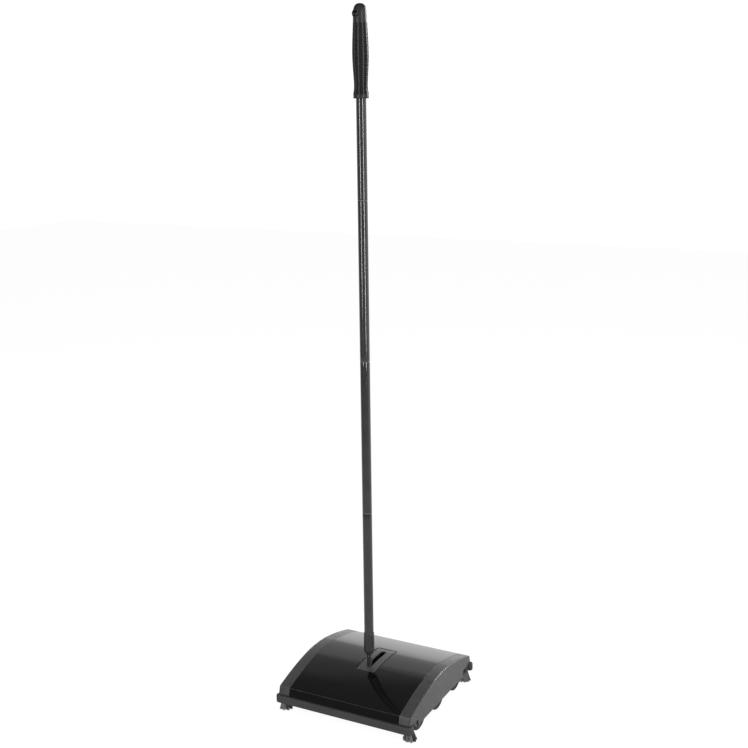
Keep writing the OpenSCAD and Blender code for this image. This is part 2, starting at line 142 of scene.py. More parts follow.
def rings(rr, cap0=True, cap1=True):
    """Vertices and faces of a skin through rings of equal point counts."""
    n = len(rr[0])
    verts = [p for r in rr for p in r]
    faces = []
    for i in range(len(rr) - 1):
        for j in range(n):
            k = (j + 1) % n
            faces.append((i * n + j, i * n + k, (i + 1) * n + k, (i + 1) * n + j))
    if cap0:
        faces.append(tuple(range(n - 1, -1, -1)))
    if cap1:
        faces.append(tuple((len(rr) - 1) * n + j for j in range(n)))
    return verts, faces


def lathe(name, prof, n=128, at=(0, 0, 0), axis="Z", wobble=None):
    """Turns a closed (radius, height) outline about an axis. wobble(angle, r, h) changes a radius."""
    verts, faces = [], []
    m = len(prof)
    for r, h in prof:
        for k in range(n):
            a = 2 * math.pi * k / n
            q = r + (wobble(a, r, h) if wobble else 0)
            c, s = q * math.cos(a), q * math.sin(a)
            verts.append((at[0] + c, at[1] + s, at[2] + h) if axis == "Z" else (at[0] + h, at[1] + c, at[2] + s))
    for i in range(m):
        i2 = (i + 1) % m
        for k in range(n):
            k2 = (k + 1) % n
            faces.append((i * n + k, i * n + k2, i2 * n + k2, i2 * n + k))
    ob = mesh_obj(name, verts, faces)
    bm = bmesh.new()
    bm.from_mesh(ob.data)
    bmesh.ops.dissolve_degenerate(bm, edges=bm.edges, dist=1e-6)
    bmesh.ops.recalc_face_normals(bm, faces=bm.faces)
    bm.to_mesh(ob.data)
    bm.free()
    return ob


def sweep(name, path, radius, n=48, cap=True):
    """Round bar of one radius, or one radius for each point, along a path in the YZ plane."""
    rr = []
    for i, p in enumerate(path):
        a, b = path[max(i - 1, 0)], path[min(i + 1, len(path) - 1)]
        t = (Vector(b) - Vector(a)).normalized()
        u = Vector((1, 0, 0))
        v = t.cross(u).normalized()
        r = radius[i] if hasattr(radius, "__len__") else radius
        rr.append([tuple(Vector(p) + r * (math.cos(2 * math.pi * k / n) * u + math.sin(2 * math.pi * k / n) * v)) for k in range(n)])
    return mesh_obj(name, *rings(rr, cap, cap))


def prism_x(name, poly, x0, x1):
    return mesh_obj(name, *rings([[(x0, y, z) for y, z in poly], [(x1, y, z) for y, z in poly]]))


def prism_z(name, poly, z0, z1):
    return mesh_obj(name, *rings([[(x, y, z0) for x, y in poly], [(x, y, z1) for x, y in poly]]))


def rrect(a, b, r, n=8, cx=0, cy=0):
    out = []
    for sx, sy, a0 in ((1, 1, 0), (-1, 1, 90), (-1, -1, 180), (1, -1, 270)):
        for k in range(n + 1):
            t = math.radians(a0 + 90 * k / n)
            out.append((cx + sx * (a - r) + r * math.cos(t), cy + sy * (b - r) + r * math.sin(t)))
    return out


def area2(poly):
    return sum(poly[i][0] * poly[(i + 1) % len(poly)][1] - poly[(i + 1) % len(poly)][0] * poly[i][1] for i in range(len(poly)))


def inset(poly, d):
    """Moves a counter-clockwise outline inwards by d, or by d[i] at each point."""
    n = len(poly)
    out = []
    for i in range(n):
        p0, p, p1 = poly[i - 1], poly[i], poly[(i + 1) % n]
        e0 = np.subtract(p, p0) / np.linalg.norm(np.subtract(p, p0))
        e1 = np.subtract(p1, p) / np.linalg.norm(np.subtract(p1, p))
        n0, n1 = np.array((-e0[1], e0[0])), np.array((-e1[1], e1[0]))
        m = (n0 + n1) / max(1 + float(n0 @ n1), 0.2)
        q = np.array(p) + (d[i] if hasattr(d, "__len__") else d) * m
        out.append((float(q[0]), float(q[1])))
    return out


def fillet(poly, radii, seg=5, closed=True):
    """Rounds the corners of an outline named in radii {index: radius}."""
    out = []
    n = len(poly)
    for i, p in enumerate(poly):
        r = radii.get(i, 0)
        if not r or (not closed and i in (0, n - 1)):
            out.append(tuple(p))
            continue
        a, b = np.array(poly[i - 1], float), np.array(poly[(i + 1) % n], float)
        p = np.array(p, float)
        da, db = (a - p) / np.linalg.norm(a - p), (b - p) / np.linalg.norm(b - p)
        half = math.acos(max(-1, min(1, float(da @ db)))) / 2
        t = min(r / math.tan(half), 0.49 * np.linalg.norm(a - p), 0.49 * np.linalg.norm(b - p))
        r = t * math.tan(half)
        c = p + (da + db) / np.linalg.norm(da + db) * r / math.sin(half)
        s, e = p + da * t, p + db * t
        a0, a1 = math.atan2(*(s - c)[::-1]), math.atan2(*(e - c)[::-1])
        da_ = (a1 - a0 + math.pi) % (2 * math.pi) - math.pi
        for k in range(seg + 1):
            q = a0 + da_ * k / seg
            out.append((c[0] + r * math.cos(q), c[1] + r * math.sin(q)))
    return out


def join(name, obs):
    bm = bmesh.new()
    for o in obs:
        bm.from_mesh(o.data)
    me = bpy.data.meshes.new(name)
    bm.to_mesh(me)
    bm.free()
    for o in obs:
        drop(o)
    return link(name, me)


def bristle_mesh(name, strands, sides=4, segs=3):
    """Thin tapered strands. Each is (root, middle control, tip, root radius, tip radius, tint)."""
    P0, P1, P2 = (np.array([s[i] for s in strands], float) for i in range(3))
    r0, r1, tint = (np.array([s[i] for s in strands], float) for i in (3, 4, 5))
    N = len(strands)
    ts = np.linspace(0, 1, segs + 1)
    cen = [((1 - t) ** 2) * P0 + 2 * t * (1 - t) * P1 + t * t * P2 for t in ts]
    axis = P2 - P0
    axis /= np.linalg.norm(axis, axis=1)[:, None]
    ref = np.where(np.abs(axis[:, :1]) < 0.8, np.array([[1.0, 0, 0]]), np.array([[0, 1.0, 0]]))
    u = np.cross(axis, ref)
    u /= np.linalg.norm(u, axis=1)[:, None]
    v = np.cross(axis, u)
    verts = np.zeros((N, (segs + 1) * sides, 3))
    for i, t in enumerate(ts):
        rad = (r0 + (r1 - r0) * t)[:, None]
        for k in range(sides):
            a = 2 * math.pi * k / sides + 0.4
            verts[:, i * sides + k] = cen[i] + rad * (math.cos(a) * u + math.sin(a) * v)
    per = (segs + 1) * sides
    one = []
    for i in range(segs):
        for k in range(sides):
            k2 = (k + 1) % sides
            one.append((i * sides + k, i * sides + k2, (i + 1) * sides + k2, (i + 1) * sides + k))
    one.append(tuple(range(sides - 1, -1, -1)))
    one.append(tuple(segs * sides + k for k in range(sides)))
    faces = [tuple(j * per + q for q in f) for j in range(N) for f in one]
    me = bpy.data.meshes.new(name)
    me.from_pydata((verts.reshape(-1, 3) * MM).tolist(), [], faces)
    att = me.attributes.new("tint", "FLOAT", "POINT")
    att.data.foreach_set("value", np.repeat(tint, per).astype(np.float32))
    me.update()
    me.shade_smooth()
    return link(name, me)


# ----------------------------------------------------------------- materials
class Mat:
    """Builds a node material whose detail is read from object coordinates in metres."""

    def __init__(self, name, rough=0.5, metal=0.0, spec=0.5, coat=0.0, coat_rough=0.05, ior=1.5, sheen=0.0):
        self.m = bpy.data.materials.new(name)
        self.m.use_nodes = True
        self.t = self.m.node_tree
        self.t.nodes.clear()
        self.out = self.t.nodes.new("ShaderNodeOutputMaterial")
        self.p = self.t.nodes.new("ShaderNodeBsdfPrincipled")
        self.t.links.new(self.p.outputs[0], self.out.inputs[0])
        self.p.inputs["Roughness"].default_value = rough
        self.p.inputs["Metallic"].default_value = metal
        self.p.inputs["Specular IOR Level"].default_value = spec
        self.p.inputs["IOR"].default_value = ior
        self.p.inputs["Coat Weight"].default_value = coat
        self.p.inputs["Coat Roughness"].default_value = coat_rough
        if sheen:
            self.p.inputs["Sheen Weight"].default_value = sheen
            self.p.inputs["Sheen Roughness"].default_value = 0.4
        self.tc = self.t.nodes.new("ShaderNodeTexCoord")
        self.height = None

    def scaled(self, s):
        n = self.t.nodes.new("ShaderNodeMapping")
        n.inputs["Scale"].default_value = s if hasattr(s, "__len__") else (s, s, s)
        self.t.links.new(self.tc.outputs["Object"], n.inputs["Vector"])
        return n.outputs[0]

    def noise(self, scale, detail=3.0, rough=0.55, stretch=(1, 1, 1), distortion=0.0):
        n = self.t.nodes.new("ShaderNodeTexNoise")
        n.inputs["Scale"].default_value = scale
        n.inputs["Detail"].default_value = detail
        n.inputs["Roughness"].default_value = rough
        n.inputs["Distortion"].default_value = distortion
        self.t.links.new(self.scaled(stretch), n.inputs["Vector"])
        return n.outputs[0]

    def voronoi(self, scale, feature="F1", out="Distance", stretch=(1, 1, 1)):
        n = self.t.nodes.new("ShaderNodeTexVoronoi")
        n.feature = feature
        n.inputs["Scale"].default_value = scale
        self.t.links.new(self.scaled(stretch), n.inputs["Vector"])
        return n.outputs[out]

    def wave(self, scale, direction="Z", distortion=0.0, kind="SIN"):
        n = self.t.nodes.new("ShaderNodeTexWave")
        n.wave_type = "BANDS"
        n.bands_direction = direction
        n.wave_profile = kind
        n.inputs["Scale"].default_value = scale
        n.inputs["Distortion"].default_value = distortion
        self.t.links.new(self.tc.outputs["Object"], n.inputs["Vector"])
        return n.outputs["Fac"]

    def attr(self, name):
        n = self.t.nodes.new("ShaderNodeAttribute")
        n.attribute_name = name
        return n.outputs["Fac"]

    def ramp(self, fac, stops):
        n = self.t.nodes.new("ShaderNodeValToRGB")
        r = n.color_ramp
        while len(r.elements) > 1:
            r.elements.remove(r.elements[-1])
        for i, (pos, col) in enumerate(stops):
            e = r.elements[0] if i == 0 else r.elements.new(pos)
            e.position = pos
            c = col if hasattr(col, "__len__") else (col, col, col)
            e.color = (c[0], c[1], c[2], 1)
        self.t.links.new(fac, n.inputs[0])
        return n.outputs[0]

    def rng(self, fac, lo, hi, a=0.3, b=0.7):
        n = self.t.nodes.new("ShaderNodeMapRange")
        n.inputs["From Min"].default_value = a
        n.inputs["From Max"].default_value = b
        n.inputs["To Min"].default_value = lo
        n.inputs["To Max"].default_value = hi
        self.t.links.new(fac, n.inputs["Value"])
        return n.outputs[0]

    def mix(self, a, b, fac=0.5, mode="MIX"):
        n = self.t.nodes.new("ShaderNodeMix")
        n.data_type = "RGBA"
        n.blend_type = mode
        for sock, val in ((n.inputs[0], fac), (n.inputs[6], a), (n.inputs[7], b)):
            if isinstance(val, bpy.types.NodeSocket):
                self.t.links.new(val, sock)
            elif sock == n.inputs[0]:
                sock.default_value = val
            else:
                v = val if hasattr(val, "__len__") else (val, val, val)
                sock.default_value = (v[0], v[1], v[2], 1)
        return n.outputs[2]

    def color(self, sock):
        self.t.links.new(sock, self.p.inputs["Base Color"])
        return self

    def roughness(self, sock):
        self.t.links.new(sock, self.p.inputs["Roughness"])
        return self

    def bump(self, sock, dist_mm, strength=1.0):
        """Adds a layer of relief dist_mm high."""
        n = self.t.nodes.new("ShaderNodeBump")
        n.inputs["Distance"].default_value = dist_mm * MM
        n.inputs["Strength"].default_value = strength
        self.t.links.new(sock, n.inputs["Height"])
        if self.height:
            self.t.links.new(self.height, n.inputs["Normal"])
        self.height = n.outputs[0]
        for key in ("Normal", "Coat Normal"):
            self.t.links.new(self.height, self.p.inputs[key])
        return self


def plastic(name, base, rough, grain_mm=0.5, depth=0.03, spec=0.5, var=0.12, rvar=0.06, speck=None, **kw):
    """Moulded plastic or rubber: slow colour drift, fine spark-eroded grain and uneven gloss."""
    m = Mat(name, rough=rough, spec=spec, **kw)
    slow = m.noise(28, 2)
    grain = m.noise(1000 / grain_mm, 3, 0.6)
    lo, hi = tuple(c * (1 - var) for c in base), tuple(c * (1 + var) for c in base)
    col = m.ramp(slow, [(0.3, lo), (0.7, hi)])
    if speck:
        fine = m.noise(1000 / grain_mm * 0.55, 2, 0.6)
        col = m.mix(col, m.ramp(fine, [(0.36, 1 - speck), (0.64, 1 + speck)]), 1.0, "MULTIPLY")
    m.color(col)
    m.roughness(m.rng(m.noise(90, 3), max(rough - rvar, 0.02), rough + rvar))
    m.bump(grain, depth)
    return m.m


def steel(name, base, rough, spangle=False, brushed=None, metal=1.0):
    m = Mat(name, rough=rough, metal=metal)
    if spangle:
        cell = m.voronoi(260, out="Color")
        sep = m.t.nodes.new("ShaderNodeSeparateColor")
        m.t.links.new(cell, sep.inputs[0])
        g = sep.outputs[0]
        m.color(m.ramp(g, [(0.0, tuple(c * 0.82 for c in base)), (1.0, tuple(min(1, c * 1.1) for c in base))]))
        m.roughness(m.rng(g, rough - 0.06, rough + 0.08, 0, 1))
        m.bump(m.noise(1500, 2), 0.01)
    else:
        s = m.noise(900, 4, 0.7, stretch=brushed or (1, 1, 1))
        m.color(m.ramp(s, [(0.3, tuple(c * 0.86 for c in base)), (0.7, tuple(min(1, c * 1.06) for c in base))]))
        m.roughness(m.rng(m.noise(120, 3), rough - 0.06, rough + 0.1))
        m.bump(s, 0.01)
    return m.m


def gloss_paint(name, base, rough, peel_mm=0.0018, peel_scale=420, spec=0.5, coat=0.0):
    """Stove enamel on pressed steel: faint orange peel and faint dust."""
    m = Mat(name, rough=rough, spec=spec, coat=coat, coat_rough=0.03)
    m.color(m.ramp(m.noise(35, 3), [(0.3, tuple(c * 0.85 for c in base)), (0.7, tuple(c * 1.2 for c in base))]))
    m.roughness(m.rng(m.noise(45, 4, 0.65), rough * 0.75, rough * 1.3))
    m.bump(m.noise(peel_scale, 2, 0.5), peel_mm)
    return m.m


def bristle_mat(name, dark, light, rough=0.45, spec=0.5):
    m = Mat(name, rough=rough, spec=spec)
    base = m.ramp(m.attr("tint"), [(0.0, dark), (1.0, light)])
    m.color(m.mix(base, m.ramp(m.noise(900, 2), [(0.3, 0.8), (0.7, 1.2)]), 1.0, "MULTIPLY"))
    m.roughness(m.rng(m.noise(300, 2), rough - 0.08, rough + 0.08))
    m.bump(m.noise(3500, 2), 0.01)
    return m.m


def grip_mat(name, ridge, panel):
    """Rubber with painted shade: the recessed panels are painted darker than the ridges; the recesses are dull and the
    ridges a little polished.
    """
    m = Mat(name, rough=0.45, spec=0.22)
    t = m.attr("tint")
    # painted shade: tint is the panel mask, 1 in the recesses, which take the darker colour
    m.color(m.mix(m.ramp(t, [(0.1, ridge), (0.9, panel)]), m.ramp(m.noise(60, 3), [(0.3, 0.9), (0.7, 1.1)]), 1.0, "MULTIPLY"))
    m.roughness(m.rng(t, 0.4, 0.68, 0.1, 0.9))
    m.bump(m.noise(1400, 3, 0.6), 0.008)
    return m.m


def wood(name, base):
    m = Mat(name, rough=0.6)
    n = m.noise(260, 5, 0.6, stretch=(0.06, 1, 1), distortion=1.2)
    m.color(m.ramp(n, [(0.3, tuple(c * 0.72 for c in base)), (0.5, base), (0.72, tuple(c * 1.18 for c in base))]))
    m.roughness(m.rng(n, 0.5, 0.72))
    m.bump(n, 0.05)
    return m.m


MAT = {
    "cover_gloss": gloss_paint("cover_gloss", (0.002, 0.002, 0.0021), 0.07),
    "plate_plastic": plastic("plate_plastic", (0.037, 0.037, 0.0375), 0.34, 0.45, 0.012, var=0.08),
    "cap_plastic": plastic("cap_plastic", (0.031, 0.031, 0.0315), 0.31, 0.9, 0.014, speck=0.12),
    "bumper_rubber": plastic("bumper_rubber", (0.0258, 0.0258, 0.0262), 0.6, 0.7, 0.04, spec=0.3, speck=0.12),
    "frame_steel": steel("frame_steel", (0.62, 0.63, 0.64), 0.36, spangle=True),
    "pin_steel": steel("pin_steel", (0.66, 0.66, 0.67), 0.28, brushed=(8, 1, 1)),
    "bushing_plastic": plastic("bushing_plastic", (0.62, 0.6, 0.54), 0.4, 0.5, 0.01),
    "corner_bristle": bristle_mat("corner_bristle", (0.008, 0.008, 0.008), (0.14, 0.14, 0.14)),
    "rotor_core": wood("rotor_core", (0.5, 0.34, 0.18)),
    "rotor_bristle": bristle_mat("rotor_bristle", (0.008, 0.007, 0.006), (0.05, 0.042, 0.036)),
    "hub_plastic": plastic("hub_plastic", (0.022, 0.022, 0.0225), 0.42, 0.6, 0.02),
    "tyre_rubber": plastic("tyre_rubber", (0.012, 0.012, 0.012), 0.68, 0.5, 0.04, spec=0.3),
    "pan_plastic": plastic("pan_plastic", (0.02, 0.02, 0.021), 0.4, 0.8, 0.03),
    "yoke_paint": plastic("yoke_paint", (0.012, 0.012, 0.012), 0.3, 1.2, 0.01),
    "ferrule_plastic": plastic("ferrule_plastic", (0.014, 0.014, 0.0145), 0.33, 0.6, 0.015),
    "tube_paint": gloss_paint("tube_paint", (0.0178, 0.0178, 0.018), 0.13, 0.0001, 200),
    "connector_plastic": plastic("connector_plastic", (0.12, 0.12, 0.12), 0.3, 0.5, 0.01),
    # second colour: painted shade for the grip's recessed panels
    "grip_rubber": grip_mat("grip_rubber", (0.012, 0.012, 0.0122), (0.003, 0.003, 0.0031)),
}
NODE_SLOT = {
    "frame_steel": ["left_side_frame", "right_side_frame", "rotor_shroud", "handle_bracket"],
    "pin_steel": ["handle_pivot_pin", "wheel_axles", "end_cap_screws", "front_pan_hinge_rod", "rear_pan_hinge_rod",
                  "front_pan_springs", "rear_pan_springs", "front_rotor_shaft", "rear_rotor_shaft"],
    "bushing_plastic": ["rotor_bushings"],
    "rotor_core": ["front_rotor_core", "rear_rotor_core"],
    "connector_plastic": ["front_rotor_pulleys", "rear_rotor_pulleys"],
    "tyre_rubber": ["front_friction_rings", "rear_friction_rings"],
    "pan_plastic": ["front_dust_pan", "rear_dust_pan"],
}


def put(ob, slot, body, *nodes):
    """Gives a finished piece its material and its body, and hides the CAD nodes that it stands for."""
    ob.data.materials.clear()
    ob.data.materials.append(MAT[slot])
    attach(ob, body)
    if nodes:
        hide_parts(*nodes)
    return ob


# ------------------------------------------------------------ head's outline
CROWN_H, KINK_H, KINK_Y, CREASE_H, CREASE_Y, FOOT_Y, FOOT_H = 66.0, 64.3, 30.0, 43.1, 118.0, 121.5, 29.3
CROWN_R = (KINK_Y**2 + (CROWN_H - KINK_H) ** 2) / (2 * (CROWN_H - KINK_H))
SLOPE_C = math.hypot(CREASE_Y - KINK_Y, KINK_H - CREASE_H)
SLOPE_R = (SLOPE_C**2 / 4 + 4) / 4
_h = SLOPE_R - 2
SLOPE_Y0 = (KINK_Y + CREASE_Y) / 2 - (KINK_H - CREASE_H) / SLOPE_C * _h
SLOPE_Z0 = (KINK_H + CREASE_H) / 2 - (CREASE_Y - KINK_Y) / SLOPE_C * _h
FACE_SLOPE = (FOOT_Y - CREASE_Y) / (CREASE_H - FOOT_H)


def arch_half(t):
    """Points (y, z) of the rear half from the crown's middle to the foot, moved in by t, with the indices of kink and crease."""
    rc, rs = CROWN_R - t, SLOPE_R - t
    zc = CROWN_H - CROWN_R
    # kink: where the two circles cross
    d = math.hypot(SLOPE_Y0, SLOPE_Z0 - zc)
    a = (rc * rc - rs * rs + d * d) / (2 * d)
    h = math.sqrt(max(rc * rc - a * a, 0))
    ux, uz = SLOPE_Y0 / d, (SLOPE_Z0 - zc) / d
    cands = [(a * ux + s * h * uz, zc + a * uz - s * h * ux) for s in (-1, 1)]
    ky, kz = max(cands, key=lambda q: q[1])
    # crease: where the slope circle crosses the face line y = f - FACE_SLOPE (z - FOOT_H)
    f = FOOT_Y - t
    z = CREASE_H
    for _ in range(60):
        y = f - FACE_SLOPE * (z - FOOT_H)
        z = SLOPE_Z0 + math.sqrt(rs * rs - (y - SLOPE_Y0) ** 2)
    cy, cz = y, z
    pts = []
    a1 = math.atan2(ky, kz - zc)
    n1 = 16
    for i in range(n1 + 1):
        q = a1 * i / n1
        pts.append((rc * math.sin(q), zc + rc * math.cos(q)))
    ki = len(pts) - 1
    b0 = math.atan2(ky - SLOPE_Y0, kz - SLOPE_Z0)
    b1 = math.atan2(cy - SLOPE_Y0, cz - SLOPE_Z0)
    n2 = 36
    for i in range(1, n2 + 1):
        q = b0 + (b1 - b0) * i / n2
        pts.append((SLOPE_Y0 + rs * math.sin(q), SLOPE_Z0 + rs * math.cos(q)))
    ci = len(pts) - 1
    for k in (0.25, 0.5, 0.75, 1.0):
        zz = cz + (FOOT_H - cz) * k
        pts.append((f - FACE_SLOPE * (zz - FOOT_H), zz))
    return pts, ki, ci


def arch_path(t, r_crease=0.0):
    """The whole arch from the front foot to the rear foot."""
    half, ki, ci = arch_half(t)
    if r_crease:
        half = fillet(half, {ci: r_crease}, 5, closed=False)
    return [(-y, z) for y, z in reversed(half[1:])] + half


def arch_z(y, t=0.0):
    half, ki, ci = arch_half(t)
    y = abs(y)
    for (y0, z0), (y1, z1) in zip(half, half[1:]):
        if y0 <= y <= y1 and y1 > y0:
            return z0 + (z1 - z0) * (y - y0) / (y1 - y0)
    return half[-1][1]


KINKS = []
for _t in (0.0, 0.3, 1.8, 2.3):
    _p, _ki, _ci = arch_half(_t)
    KINKS += [(_p[_ki][0], _p[_ki][1]), (-_p[_ki][0], _p[_ki][1])]


def lid():
    outer = arch_path(0.0, 2.0)
    inner = arch_path(1.8, 0.6)
    poly = outer + inner[::-1]
    ob = prism_x("lid_shell", poly, -100.6, 100.6)
    boolean(ob, prism_z("hole", rrect(18.6, 43.0, 3.8, 10), 40, 80))
    tidy(ob)
    bevel(ob, 0.5, 3, 50)
    smooth(ob, 30, KINKS)
    put(ob, "cover_gloss", "head", "top_cover")


def slab(name, t0, t1, hx):
    """Arched sheet between two depths below the head's outline."""
    return prism_x(name, arch_path(t0) + arch_path(t1)[::-1], -hx, hx)


def slot_plate():
    top = slab("slot_plate_moulding", 0.3, 3.1, 30)
    boolean(top, prism_z("t", rrect(16.7, 41.2, 2.8, 10), 40, 80), "INTERSECT")
    fl = slab("flange", 2.5, 3.1, 30)
    boolean(fl, prism_z("t", rrect(21, 46, 3.0, 8), 40, 80), "INTERSECT")
    boolean(top, fl, "UNION")
    n, a, b = 16, 4.75, 30.7
    slot = [(a * math.cos(math.pi * k / n), (b - a) + a * math.sin(math.pi * k / n)) for k in range(n + 1)]
    slot += [(-x, -y) for x, y in slot]
    boolean(top, prism_z("t", slot, 40, 80))
    tidy(top)
    bevel(top, 0.4, 3, 50)
    smooth(top, 30, KINKS)
    put(top, "plate_plastic", "head", "slot_plate")


CAP_X0, CAP_X1, CAP_T = 100.8, 120.5, 2.3


def end_cap(side, s):
    arch = arch_path(0.0, 1.6)
    bottom = [(112.3, 29.3), (111.5, 27.6), (92.5, 27.6), (89.5, 24.5), (89.5, 13.5), (85.5, 13.0), (82, 16.5)]
    bottom = bottom + [(-y, z) for y, z in reversed(bottom)]
    rad = {0: 0.8, 1: 0.8, 2: 1.6, 3: 1.6, 4: 1.2, 5: 1.2, 6: 3.0, 7: 3.0, 8: 1.2, 9: 1.2, 10: 1.6, 11: 1.6, 12: 0.8, 13: 0.8}
    m = len(arch)
    poly = arch + bottom
    poly = fillet(poly, {**{m + k: v for k, v in rad.items()}, 0: 1.0, m - 1: 1.0}, 4)
    if area2(poly) < 0:
        poly = poly[::-1]
    b = 1.1
    rr = []
    for x, d in [(CAP_X0, 0.45), (CAP_X0 + 0.13, 0.13), (CAP_X0 + 0.45, 0.0), (CAP_X1 - 2.2, 0.0), (CAP_X1 - 2.05, 0.3), (CAP_X1 - 1.85, 0.42), (CAP_X1 - 1.6, 0.42),
                 (CAP_X1 - 1.4, 0.3), (CAP_X1 - 1.25, 0.05), (CAP_X1 - b, 0.0)]:
        rr.append((x, d))
    for k in range(1, 6):
        q = math.radians(90 * k / 5)
        rr.append((CAP_X1 - b + b * math.sin(q), b - b * math.cos(q)))
    loops = [[(s * x, y, z) for y, z in inset(poly, d)] for x, d in rr]
    ob = mesh_obj(side + "_end_cap_moulding", *rings(loops))
    inner = arch_path(CAP_T, 0.5)
    inner = [(-150, 0), (-150, inner[0][1])] if False else inner
    cutter = [(inner[0][0], -5)] + inner + [(inner[-1][0], -5)]
    lo, hi = sorted((s * (CAP_X0 - 2), s * (CAP_X1 - CAP_T)))
    boolean(ob, prism_x("t", cutter, lo, hi))
    # bosses for the wheel axles and posts for the screws, inside
    tidy(ob)
    smooth(ob, 30, KINKS)
    inside = []
    for y in (-72, 0, 72):
        x0, x1 = sorted((s * 114.8, s * 118.4))
        inside.append(lathe("t", [(2.52, x0), (4.7, x0), (5, x0 + 0.3), (5, x1 - 0.3), (5, x1), (2.52, x1)], 48, (0, y, 26), "X"))
    for y, z in ((-107.5, 37), (-36, 56.5), (36, 56.5), (107.5, 37)):
        x0, x1 = sorted((s * 100.6, s * 118.4))
        inside.append(lathe("t", [(1.55, x0), (3.1, x0), (3.4, x0 + 0.3), (3.4, x1), (1.55, x1)], 32, (0, y, z), "X"))
    for o in inside:
        smooth(o, 35, weighted=False)
    ob = join(side + "_end_cap_moulding", [ob] + inside)
    put(ob, "cap_plastic", "head", side + "_end_cap")


def bumper(side, s):
    hl, y0, y1, z0, z1, r = 125.0, -126.0, -112.5, 16.2, 29.0, 6.0
    poly = []
    n = 20
    poly += [(hl - r - 0.2, y1), (-hl + r + 0.2, y1)]
    for k in range(n + 1):
        q = math.radians(90 + 180 * k / n)
        poly.append((-hl + r + r * math.cos(q), y0 + r + r * math.sin(q)))
    for k in range(n + 1):
        q = math.radians(270 + 180 * k / n)
        poly.append((hl - r + r * math.cos(q), y0 + r + r * math.sin(q)))
    if area2(poly) < 0:
        poly = poly[::-1]
    e0, e1 = 1.2, 1.8
    lay = [(z0 + e0 - e0 * math.cos(math.radians(a)), e0 - e0 * math.sin(math.radians(a))) for a in (0, 22, 45, 68, 90)]
    lay += [(z1 - e1 + e1 * math.sin(math.radians(a)), e1 - e1 * math.cos(math.radians(a))) for a in (0, 22, 45, 68, 90)]
    loops = [[(x, y, z) for x, y in inset(poly, d)] for z, d in lay]
    ob = mesh_obj(side + "_bumper_bar", *rings(loops))
    for sx in (-1, 1):
        ear = rrect(5.5, 5.2, 2.0, 6, cx=sx * 114, cy=y1 + 3.8)
        el = [(z0, 0.6), (z0 + 0.6, 0.0), (26.6, 0.0), (27.2, 0.6)]
        e = mesh_obj("ear", *rings([[(x, y, z) for x, y in inset(ear, d)] for z, d in el]))
        boolean(ob, e, "UNION")
    tidy(ob)
    if s > 0:
        ob.data.transform(Matrix.Scale(-1, 4, (0, 1, 0)))
        ob.data.flip_normals()
    smooth(ob, 30)
    put(ob, "bumper_rubber", "head", side + "_bumper")


# --------------------------------------------------------------- corner brush
def corner_brush(fb, lr, sx, sy):
    r = random.Random(3 + sx + 2 * sy)
    cx, cy = sx * 114.3, sy * 108.6
    strands = []
    # stiff bundles that stand in a ring and splay to the floor
    bundles = [(0.0, 0.0, 0.35)] + [(0.45 * math.cos(math.radians(a)), 0.45 * math.sin(math.radians(a)), 1.0) for a in range(0, 360, 90)] + [(math.cos(math.radians(a)), math.sin(math.radians(a)), 1.0) for a in range(15, 375, 40)]
    for bi, (bx, by, out) in enumerate(bundles):
        lean = r.uniform(0.85, 1.12)
        tone = r.random()
        for k in range(38):
            a, q = r.uniform(0, 2 * math.pi), math.sqrt(r.random())
            jx, jy = q * math.cos(a), q * math.sin(a)
            root = (cx + sx * (4.6 * bx + 1.9 * jx), cy + sy * (4.6 * by + 1.9 * jy), 17.2)
            tx = 9.0 * bx * lean + 3.1 * jx
            ty = 9.0 * by * lean + 3.1 * jy
            d = math.hypot(tx, ty)
            if d > 11.6:
                tx, ty = tx * 11.6 / d, ty * 11.6 / d
            tip = (cx + sx * tx, cy + sy * ty, 0.25 + r.uniform(0, 1.5) * (0.3 + q) * 0.8)
            mid = (root[0] * 0.62 + tip[0] * 0.38 + r.uniform(-0.35, 0.35), root[1] * 0.62 + tip[1] * 0.38 + r.uniform(-0.35, 0.35), 8.2)
            strands.append((root, mid, tip, 0.4, 0.36, min(1, max(0, 1.15 * tone + 0.5 * r.random() - 0.35))))
    ob = bristle_mesh(f"{fb}_{lr}_corner_bristles", strands, 4, 3)
    put(ob, "corner_bristle", "head", f"{fb}_{lr}_corner_brush")


